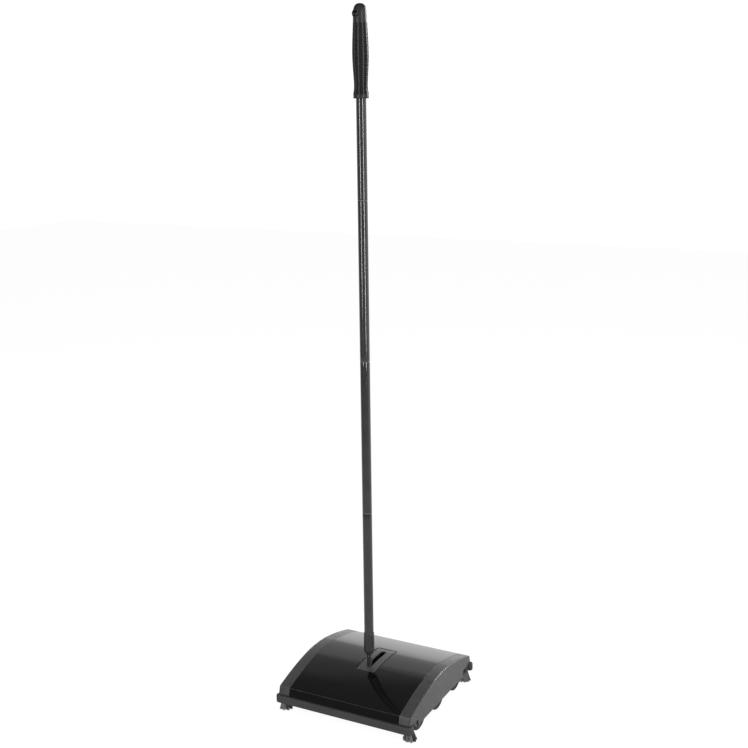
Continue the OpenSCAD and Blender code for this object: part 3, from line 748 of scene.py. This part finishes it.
# ------------------------------------------------------------------- wheels
def wheel(fb, lr, s, y):
    x0, x1 = 104.0, 114.0
    # hub: dished face with a stepped rim, a centre boss and six ribs
    prof = [(2.55, x0), (5.6, x0), (6.0, x0 + 0.4), (6.0, x1 - 3.4), (6.6, x1 - 3.0), (16.4, x1 - 3.0), (17.0, x1 - 3.4),
            (17.0, x0 + 1.3), (17.3, x0 + 1.0), (20.2, x0 + 1.0), (20.5, x0 + 1.3), (20.5, x1 - 0.9), (20.2, x1 - 0.6), (18.0, x1 - 0.6),
            (17.6, x1 - 0.8), (16.9, x1 - 2.0), (16.3, x1 - 2.3), (7.6, x1 - 2.3), (7.0, x1 - 2.0), (6.5, x1 - 0.7), (6.1, x1 - 0.4), (2.9, x1 - 0.4), (2.55, x1 - 0.7)]
    if s < 0:
        prof = [(r, -h) for r, h in prof][::-1]
    hub = lathe(f"{fb}_{lr}_hub_disc", prof, 96, (0, y, 26), "X")
    ribs = []
    for k in range(6):
        a = math.radians(60 * k + 17)
        pts = []
        for x, w in ((x1 - 2.4, 1.0), (x1 - 1.3, 0.85), (x1 - 1.0, 0.55)):
            loop = []
            for rr_, ww in ((6.6, w), (17.3, w), (17.3, -w), (6.6, -w)):
                cy = rr_ * math.cos(a) - ww * math.sin(a)
                cz = rr_ * math.sin(a) + ww * math.cos(a)
                loop.append((s * x, y + cy, 26 + cz))
            pts.append(loop)
        ribs.append(mesh_obj("rib", *rings(pts)))
    smooth(hub, 35, weighted=False)
    for r in ribs:
        smooth(r, 35, weighted=False)
    hub = join(f"{fb}_{lr}_hub_disc", [hub] + ribs)
    put(hub, "hub_plastic", f"{fb}_{lr}_wheel", f"{fb}_{lr}_hub")
    # tyre: rounded shoulders and two shallow grooves round the tread
    tp = [(20.5, x0 + 0.25), (24.3, x0), (25.0, x0 + 0.15), (25.6, x0 + 0.6), (25.9, x0 + 1.2), (26.0, x0 + 1.9), (26.0, x0 + 2.9), (25.6, x0 + 3.15),
          (25.6, x0 + 3.5), (26.0, x0 + 3.75), (26.0, x0 + 6.25), (25.6, x0 + 6.5), (25.6, x0 + 6.85), (26.0, x0 + 7.1), (26.0, x1 - 1.9), (25.9, x1 - 1.2),
          (25.6, x1 - 0.6), (25.0, x1 - 0.15), (24.3, x1), (23.6, x1 - 0.05), (23.3, x1 - 0.3), (22.2, x1 - 0.3), (21.9, x1 - 0.08), (20.9, x1 - 0.15), (20.5, x1 - 0.3)]
    if s < 0:
        tp = [(r, -h) for r, h in tp][::-1]
    tyre = lathe(f"{fb}_{lr}_tyre_ring", tp, 144, (0, y, 26), "X")
    smooth(tyre, 40, weighted=False)
    put(tyre, "tyre_rubber", f"{fb}_{lr}_wheel", f"{fb}_{lr}_tyre")


# ------------------------------------------------------------ rotor bristles
def rotor_brush(fb, s):
    r = random.Random(7 + s)
    cy, cz = s * 36.0, 26.0
    strands = []
    n = 30
    for row in range(4):
        for i in range(n):
            x = -90 + 180 * i / (n - 1)
            a0 = math.radians(90 * row - s * 150 * (x + 92) / 184) + math.radians(0)
            for k in range(15):
                q, b = math.sqrt(r.random()), r.uniform(0, 2 * math.pi)
                px, pa = x + 1.4 * q * math.cos(b), a0 + 1.5 * q * math.sin(b) / 9
                tx = x + (3.1 * q * math.cos(b)) + r.uniform(-0.4, 0.4)
                ta = a0 + (3.4 * q * math.sin(b) + r.uniform(-0.5, 0.5)) / 24
                tr = 24.3 - r.uniform(0, 0.9)
                tx = max(-92, min(92, tx))

                def at(xx, aa, rr_):
                    # the linear twist turns the outline's x towards -z after the part is laid along X
                    return (xx, cy + rr_ * math.sin(aa), cz - rr_ * math.cos(aa))

                root, tip = at(px, pa, 8.4), at(tx, ta, tr)
                mid = at((px + tx) / 2 + r.uniform(-0.3, 0.3), (pa + ta) / 2 + r.uniform(-0.02, 0.02), 16.5)
                strands.append((root, mid, tip, 0.24, 0.18, r.random() ** 2))
    ob = bristle_mesh(f"{fb}_rotor_bristle_rows", strands, 3, 2)
    put(ob, "rotor_bristle", f"{fb}_rotor", f"{fb}_rotor_bristles")


# -------------------------------------------------------------------- handle
POLE_Y, ROD_R, PIVOT_Z, BEND_Z = -26.4, 3.9, 38.0, 60.0


def yoke():
    # straight arm from the eye, a bend of 7 mm radius, then straight up into the ferrule
    a, b, c = np.array((0.0, PIVOT_Z)), np.array((POLE_Y, BEND_Z)), np.array((POLE_Y, 103.0))
    rb = 7.0
    pts = fillet([tuple(a), tuple(b), tuple(c)], {1: rb}, 14, closed=False)
    path = []
    for (y0, z0), (y1, z1) in zip(pts, pts[1:]):
        path.append((0.0, y0, z0))
    path.append((0.0, pts[-1][0], pts[-1][1]))
    rod = sweep("yoke_rod_bar", path, ROD_R, 48)
    smooth(rod, 40, weighted=False)
    eye = lathe("eye", [(2.55, -3.6), (2.9, -4.0), (5.5, -4.0), (6.0, -3.5), (6.0, 3.5), (5.5, 4.0), (2.9, 4.0), (2.55, 3.6)], 96, (0, 0, PIVOT_Z), "X")
    bore = lathe("t", [(0, -12), (2.55, -12), (2.55, 12), (0, 12)], 64, (0, 0, PIVOT_Z), "X")
    boolean(rod, bore)
    boolean(rod, eye, "UNION")
    tidy(rod)
    smooth(rod, 35, weighted=False)
    put(rod, "yoke_paint", "handle", "yoke_rod")


def threads(r0, z0, z1, pitch, depth, taper=0.0):
    """Outline points of a run of round threads from z0 up to z1."""
    out = []
    n = int((z1 - z0) / pitch)
    for i in range(n):
        z = z0 + i * (z1 - z0) / n
        p = (z1 - z0) / n
        for q, d in ((0.0, 0.0), (0.25, 0.6), (0.5, 1.0), (0.75, 0.6)):
            zz = z + q * p
            out.append((r0 + taper * (zz - z0) + depth * d, zz))
    return out


def ferrule():
    at = (0, POLE_Y, 0)
    nut = [(3.95, 81.5), (4.15, 81.5), (4.3, 81.8)] + threads(4.3, 82.0, 85.2, 0.8, 0.35, 0.16)
    nut += [(5.0, 85.5), (5.3, 86.2)] + threads(5.3, 86.4, 90.6, 1.05, 0.45, 0.56)
    nut += [(8.0, 90.9), (8.4, 91.4), (8.45, 92.0), (8.4, 92.45), (3.95, 92.45)]

    def knurl(a, r, h):
        return -0.4 * (0.5 + 0.5 * math.cos(16 * a)) if (86.3 < h < 90.8 and r > 4.9) else 0.0

    ob = lathe("ferrule_nut_turned", nut, 144, at, "Z", knurl)
    smooth(ob, 40, weighted=False)
    put(ob, "ferrule_plastic", "handle", "ferrule_nut")
    f = [(3.95, 92.55), (8.5, 92.55), (8.9, 92.75), (9.1, 93.2), (9.15, 94.0), (9.1, 95.4), (8.95, 96.2), (8.9, 97.0), (8.85, 108), (8.7, 123.0), (8.62, 124.0),
         (8.45, 124.6), (8.15, 124.95), (7.83, 124.95), (7.83, 103.5), (3.95, 103.5)]

    def flute(a, r, h):
        # shallow flutes along the sleeve
        return -0.16 * (0.5 + 0.5 * math.cos(12 * a)) if (96.5 < h < 123.4 and r > 8.2) else 0.0

    ob = lathe("ferrule_sleeve", f, 144, at, "Z", flute)
    smooth(ob, 40, weighted=False)
    put(ob, "ferrule_plastic", "handle", "ferrule")


JOINTS = [335.4, 586.8, 838.2]
TOP_Z = 1089.6


def tubes():
    at = (0, POLE_Y, 0)
    R, r = 7.8, 6.85
    ends = [(103.6, JOINTS[0] - 0.5), (JOINTS[0] + 0.5, JOINTS[1] - 0.5), (JOINTS[1] + 0.5, JOINTS[2] - 0.5), (JOINTS[2] + 0.5, TOP_Z)]
    for i, (z0, z1) in enumerate(ends, 1):
        e = 0.45
        p = [(r, z0), (R - e, z0)] + [(R - e + e * math.sin(math.radians(q)), z0 + e - e * math.cos(math.radians(q))) for q in (22, 45, 68, 90)]
        k = 24
        p += [(R, z0 + e + (z1 - z0 - 2 * e) * j / k) for j in range(1, k)]
        p += [(R - e + e * math.cos(math.radians(q)), z1 - e + e * math.sin(math.radians(q))) for q in (0, 22, 45, 68)] + [(R - e, z1), (r, z1)]
        ob = lathe(f"tube_section_{i}", p, 96, at)
        smooth(ob, 40, weighted=False)
        put(ob, "tube_paint", "handle", f"handle_tube_{i}")
    for i, z in enumerate(JOINTS, 1):
        h = 0.42
        p = [(0.0, z - 28), (6.0, z - 28), (6.75, z - 26.5), (6.75, z - 0.6), (7.4, z - h), (7.66, z - 0.3), (7.74, z), (7.66, z + 0.3), (7.4, z + h), (6.75, z + 0.6),
             (6.75, z + 26.5), (6.0, z + 28), (0.0, z + 28)]
        ob = lathe(f"joint_sleeve_{i}", p, 96, at)
        smooth(ob, 40, weighted=False)
        put(ob, "connector_plastic", "handle", f"tube_connector_{i}")


GRIP_Z0, GRIP_H = 988.9, 136.3
GRIP = [(11.7, 0), (11.7, 5), (10.5, 14), (10.3, 20.5), (10.8, 31), (11.8, 47), (12.3, 61), (12.1, 76), (11.5, 91), (10.9, 103), (10.6, 111), (10.5, 119)]


def grip_radius(h):
    """Smooth outline of the grip below its dome."""
    hs = np.array([q[1] for q in GRIP], float)
    rs = np.array([q[0] for q in GRIP], float)
    i = int(np.clip(np.searchsorted(hs, h) - 1, 0, len(hs) - 2))
    m = np.gradient(rs, hs)
    t = (h - hs[i]) / (hs[i + 1] - hs[i])
    w = hs[i + 1] - hs[i]
    return ((2 * t**3 - 3 * t**2 + 1) * rs[i] + (t**3 - 2 * t**2 + t) * w * m[i] + (-2 * t**3 + 3 * t**2) * rs[i + 1] + (t**3 - t**2) * w * m[i + 1])


def sstep(a, b, x):
    t = min(1, max(0, (x - a) / (b - a)))
    return t * t * (3 - 2 * t)


PANEL_0 = math.radians(-59.0)  # one panel faces the front right
HANG_TURN = math.radians(14)


def grip_mask(a, h, R, pan=10, z_bot=5.2, z_top=108.5):
    """1 inside the ribbed panels, 0 on the ridges, the collar and the cap."""
    p = (a - PANEL_0) * pan / (2 * math.pi)
    arc = (p - round(p)) * 2 * math.pi / pan * R
    half = 0.335 * 2 * math.pi / pan * R
    foot = z_bot + (half - math.sqrt(max(half * half - arc * arc, 0)) if abs(arc) < half else half)
    return sstep(half + 0.28, half - 0.28, abs(arc)) * sstep(foot - 0.3, foot + 0.5, h) * sstep(z_top + 0.5, z_top - 0.3, h)


def grip():
    N = 240
    R_DOME = 10.5
    h_dome = 119.0
    levels = [0.0, 0.25, 0.6, 1.2]
    while levels[-1] < 113:
        levels.append(levels[-1] + 0.42)
    levels += list(np.linspace(levels[-1] + 0.8, h_dome, 8))
    dome = [(R_DOME * (1 - math.sin(q) ** 2.6) ** (1 / 2.6), h_dome + (GRIP_H - h_dome) * math.sin(q)) for q in np.linspace(0, math.pi / 2, 26)][1:]
    pitch = 6.5

    def rad(a, h):
        R = grip_radius(min(h, h_dome))
        if h < 1.2:
            R -= 0.9 * (1 - math.sqrt(max(0, 1 - (1 - h / 1.2) ** 2)))
        # panels: recesses round the grip, each with a half-round foot, crossed by ribs
        c = 0.5 + 0.5 * math.cos(2 * math.pi * (h - 5.2) / pitch)
        return R - grip_mask(a, h, R) * (1.15 - 0.9 * sstep(0.45, 0.85, c))

    at = (0, POLE_Y, GRIP_Z0)
    angles = [2 * math.pi * k / N + PANEL_0 for k in range(N)]

    def ring(r, h):
        return [(at[0] + r * math.cos(a), at[1] + r * math.sin(a), at[2] + h) for a in angles]

    rr = [[(at[0] + rad(a, h) * math.cos(a), at[1] + rad(a, h) * math.sin(a), at[2] + h) for a in angles] for h in levels]
    rr += [ring(r, h) for r, h in dome[:-1]]
    # inside: the blind bore for the tube, closed above it
    zb = 1090.0 - GRIP_Z0
    loops = [ring(0.02, zb), ring(7.83, zb), ring(7.83, 0.3), ring(8.2, 0.0)] + rr
    ob = mesh_obj("grip_moulding", *rings(loops, True, True))
    # hanging hole with a raised, rounded rim at its front mouth
    place = Matrix.Translation((0, POLE_Y * MM, (GRIP_Z0 + 121.5) * MM)) @ Matrix.Rotation(-HANG_TURN, 4, "Z") @ Matrix.Rotation(math.pi / 2, 4, "X")
    e = 0.7
    prof = [(0.02, 0.0), (5.9, 0.0)] + [(5.9 - e + e * math.cos(q), 11.5 - e + e * math.sin(q)) for q in (0, 0.4, 0.8, 1.2)] + [(5.9 - e, 11.5), (0.02, 11.5)]
    rim = lathe("rim", prof, 72, (0, 0, 0), "Z")
    rim.data.transform(place)
    boolean(ob, rim, "UNION")
    cut = lathe("t", [(0.0, -14), (4.0, -14), (4.0, 14), (0.0, 14)], 72, (0, 0, 0), "Z")
    cut.data.transform(place)
    boolean(ob, cut)
    tidy(ob, 5e-6)
    smooth(ob, 38, weighted=False)
    me = ob.data
    # tint holds the panel mask, which the grip material uses to paint shade into the recesses
    att = me.attributes.new("tint", "FLOAT", "POINT")
    for i, v in enumerate(me.vertices):
        x, y, h = v.co.x / MM - at[0], v.co.y / MM - at[1], v.co.z / MM - at[2]
        r = math.hypot(x, y)
        att.data[i].value = grip_mask(math.atan2(y, x), h, grip_radius(min(max(h, 0), h_dome))) if r > 8.5 else 0.5
    put(ob, "grip_rubber", "handle", "grip")


# ----------------------------------------- inner parts, softened at the edges
def softened(node, slot, body, width=0.25, seg=2, angle=40):
    """A copy of a CAD part with small rounds on its edges."""
    me = NODES[node].data.copy()
    me.materials.clear()
    ob = link(node + "_made", me)
    tidy(ob, 5e-6, dissolve=0.6)
    bevel(ob, width, seg, angle)
    smooth(ob, 30)
    put(ob, slot, body, node)


def carried():
    for slot, names in NODE_SLOT.items():
        for n in names:
            ob = NODES[n]
            if ob.hide_render:
                continue
            if not ob.material_slots:
                ob.data.materials.append(MAT[slot])
            for ms in ob.material_slots:
                ms.link = "OBJECT"
                ms.material = MAT[slot]


# --------------------------------------------------------------------- build
lid()
slot_plate()
end_cap("left", -1)
end_cap("right", 1)
bumper("front", -1)
bumper("rear", 1)
for fb, sy in (("front", -1), ("rear", 1)):
    for lr, sx in (("left", -1), ("right", 1)):
        corner_brush(fb, lr, sx, sy)
for fb, y in (("front", -72), ("middle", 0), ("rear", 72)):
    for lr, sx in (("left", -1), ("right", 1)):
        wheel(fb, lr, sx, y)
rotor_brush("front", -1)
rotor_brush("rear", 1)
yoke()
ferrule()
tubes()
grip()
softened("left_side_frame", "frame_steel", "head", 0.3)
softened("right_side_frame", "frame_steel", "head", 0.3)
softened("front_dust_pan", "pan_plastic", "front_pan", 0.3)
softened("rear_dust_pan", "pan_plastic", "rear_pan", 0.3)
softened("handle_bracket", "frame_steel", "head", 0.3)
carried()


# ---------------------------------------------------- floor, light and camera
def floor():
    s = 6000
    me = bpy.data.meshes.new("floor")
    me.from_pydata([(-s * MM, -s * MM, 0), (s * MM, -s * MM, 0), (s * MM, s * MM, 0), (-s * MM, s * MM, 0)], [], [(0, 1, 2, 3)])
    ob = link("floor", me)
    m = bpy.data.materials.new("floor_pale")
    m.use_nodes = True
    t = m.node_tree
    t.nodes.clear()
    out = t.nodes.new("ShaderNodeOutputMaterial")
    add = t.nodes.new("ShaderNodeAddShader")
    d = t.nodes.new("ShaderNodeBsdfDiffuse")
    d.inputs[0].default_value = (0.12, 0.12, 0.12, 1)
    e = t.nodes.new("ShaderNodeEmission")
    e.inputs[0].default_value = (1, 1, 1, 1)
    e.inputs[1].default_value = 0.93
    t.links.new(d.outputs[0], add.inputs[0])
    t.links.new(e.outputs[0], add.inputs[1])
    t.links.new(add.outputs[0], out.inputs[0])
    me.materials.append(m)
    ob.visible_glossy = False
    return ob


def area(name, loc, target, sx, sy, power, glossy=True, spread=180):
    l = bpy.data.lights.new(name, "AREA")
    l.shape = "RECTANGLE"
    l.size, l.size_y = sx, sy
    l.energy = power
    l.spread = math.radians(spread)
    ob = bpy.data.objects.new(name, l)
    scene.collection.objects.link(ob)
    ob.location = loc
    ob.rotation_mode = "QUATERNION"
    ob.rotation_quaternion = (Vector(target) - Vector(loc)).to_track_quat("-Z", "Y")
    ob.visible_camera = False
    ob.visible_glossy = glossy
    return ob


def studio():
    w = bpy.data.worlds.new("studio")
    scene.world = w
    w.use_nodes = True
    t = w.node_tree
    t.nodes.clear()
    N, L = t.nodes.new, t.links.new

    def math_(op, a, b=None, c=None):
        n = N("ShaderNodeMath")
        n.operation = op
        for i, v in enumerate((a, b, c)):
            if v is None:
                continue
            if isinstance(v, bpy.types.NodeSocket):
                L(v, n.inputs[i])
            else:
                n.inputs[i].default_value = v
        return n.outputs[0]

    def ramp(fac, stops):
        n = N("ShaderNodeValToRGB")
        r = n.color_ramp
        while len(r.elements) > 1:
            r.elements.remove(r.elements[-1])
        for i, (pos, v) in enumerate(stops):
            e = r.elements[0] if i == 0 else r.elements.new(pos)
            e.position = pos
            e.color = (v, v, v, 1)
        L(fac, n.inputs[0])
        return n.outputs[0]

    tc = N("ShaderNodeTexCoord")
    sep = N("ShaderNodeSeparateXYZ")
    L(tc.outputs["Generated"], sep.inputs[0])
    x, y, z = sep.outputs
    el = math_("MULTIPLY", math_("ARCSINE", z), 180 / math.pi)
    azi = math_("MAXIMUM", math_("MINIMUM", math_("MULTIPLY", math_("ARCTAN2", x, y), 180 / math.pi), -10.0), -43.5)
    high = math_("MAXIMUM", math_("MINIMUM", math_("MULTIPLY_ADD", el, 0.1, -2.8), 1.0), 0.0)
    lean = math_("MULTIPLY", math_("MULTIPLY_ADD", azi, 0.5, 17.5), high)
    f = math_("ADD", math_("DIVIDE", math_("ADD", el, lean), 180.0), 0.5)  # 0 straight down, 1 straight up

    def at(deg):
        return deg / 180.0 + 0.5

    back = ramp(f, [(0.0, 0.14), (at(-33), 0.19), (at(-26), 0.47), (at(-12), 0.62), (at(-6), 0.6), (at(0), 0.67), (at(5), 0.73), (at(8), 0.70), (at(10), 0.6), (at(13), 0.45), (at(16), 0.4), (at(21), 0.365), (at(30), 0.38),
                     (at(34), 0.39), (at(36), 0.36), (at(37.5), 0.28), (at(41), 0.225), (at(43), 0.18), (at(44.2), 0.185), (at(45.3), 0.15), (at(46.3), 0.118), (at(47.5), 0.085), (at(62), 0.067), (at(70), 0.25), (1.0, 0.5)])
    front = ramp(f, [(0.0, 0.4), (at(-19), 0.4), (at(-14.5), 0.085), (at(-4), 0.08), (at(12), 0.05), (at(35), 0.042), (at(60), 0.088), (at(70), 0.28), (1.0, 0.5)])
    side = math_("MULTIPLY_ADD", y, 2.2, 0.5)
    side = math_("MINIMUM", math_("MAXIMUM", side, 0.0), 1.0)
    mixc = N("ShaderNodeMix")
    mixc.data_type = "RGBA"
    L(side, mixc.inputs[0])
    L(front, mixc.inputs[6])
    L(back, mixc.inputs[7])
    bg = N("ShaderNodeBackground")
    L(mixc.outputs[2], bg.inputs[0])
    bg.inputs[1].default_value = 2.0
    white = N("ShaderNodeBackground")
    white.inputs[0].default_value = (1, 1, 1, 1)
    white.inputs[1].default_value = 1.05
    lp = N("ShaderNodeLightPath")
    mix = N("ShaderNodeMixShader")
    L(lp.outputs["Is Camera Ray"], mix.inputs[0])
    L(bg.outputs[0], mix.inputs[1])
    L(white.outputs[0], mix.inputs[2])
    out = N("ShaderNodeOutputWorld")
    L(mix.outputs[0], out.inputs[0])

    # softboxes either side of the camera
    for nm, azi, dist, half_w, z0, z1, power in (("strip_left", -12.0, 2.4, 0.13, 0.25, 2.0, 36), ("strip_right", 62.0, 2.4, 0.13, 0.1, 2.0, 46)):
        a = math.radians(azi)
        loc = (dist * math.sin(a), -0.0264 - dist * math.cos(a), (z0 + z1) / 2)
        area(nm, loc, (0, -0.0264, (z0 + z1) / 2), 2 * half_w, z1 - z0, power)
    area("top_soft", (0.3, 0.2, 3.0), (0, 0, 0.2), 2.5, 2.5, 24, glossy=False)
    area("top_front", (0.5, -1.6, 2.6), (0, 0, 0.2), 1.2, 1.2, 3, spread=120)
    a = math.radians(25.5)
    ob = area("edge_light", (2.7 * math.sin(a), 2.7 * math.cos(a), 1.55), (0, 0, 0.06), 1.3, 0.7, 70)
    ob.visible_diffuse = False
    area("crease_light", (-1.21, -2.38, 1.36), (0, 0, 0.05), 0.9, 0.5, 5.5)
    area("front_fill", (-0.4, -3.0, 1.0), (0, 0, 0.3), 2.0, 1.6, 5, glossy=False)
    area("right_fill", (3.0, -0.4, 1.0), (0, 0, 0.3), 2.0, 1.6, 13, glossy=False)


def camera():
    cd = bpy.data.cameras.new("camera")
    cd.sensor_width = 36.0
    cd.lens = 1176.445 * 36 / 748
    cd.clip_start, cd.clip_end = 0.05, 50
    cam = bpy.data.objects.new("camera", cd)
    scene.collection.objects.link(cam)
    yaw, pitch, roll = (math.radians(q) for q in (27.65, 13.373, -0.746))
    fwd = Vector((-math.sin(yaw) * math.cos(pitch), math.cos(yaw) * math.cos(pitch), -math.sin(pitch)))
    right = fwd.cross(Vector((0, 0, 1))).normalized()
    up = right.cross(fwd)
    r = math.cos(roll) * right + math.sin(roll) * up
    u = -math.sin(roll) * right + math.cos(roll) * up
    m = Matrix((r, u, -fwd)).transposed().to_4x4()
    m.translation = Vector((849.419, -1617.757, 994.702)) * MM
    cam.matrix_world = m
    scene.camera = cam


floor()
studio()
camera()
scene.view_settings.view_transform = "Standard"
scene.view_settings.look = "None"
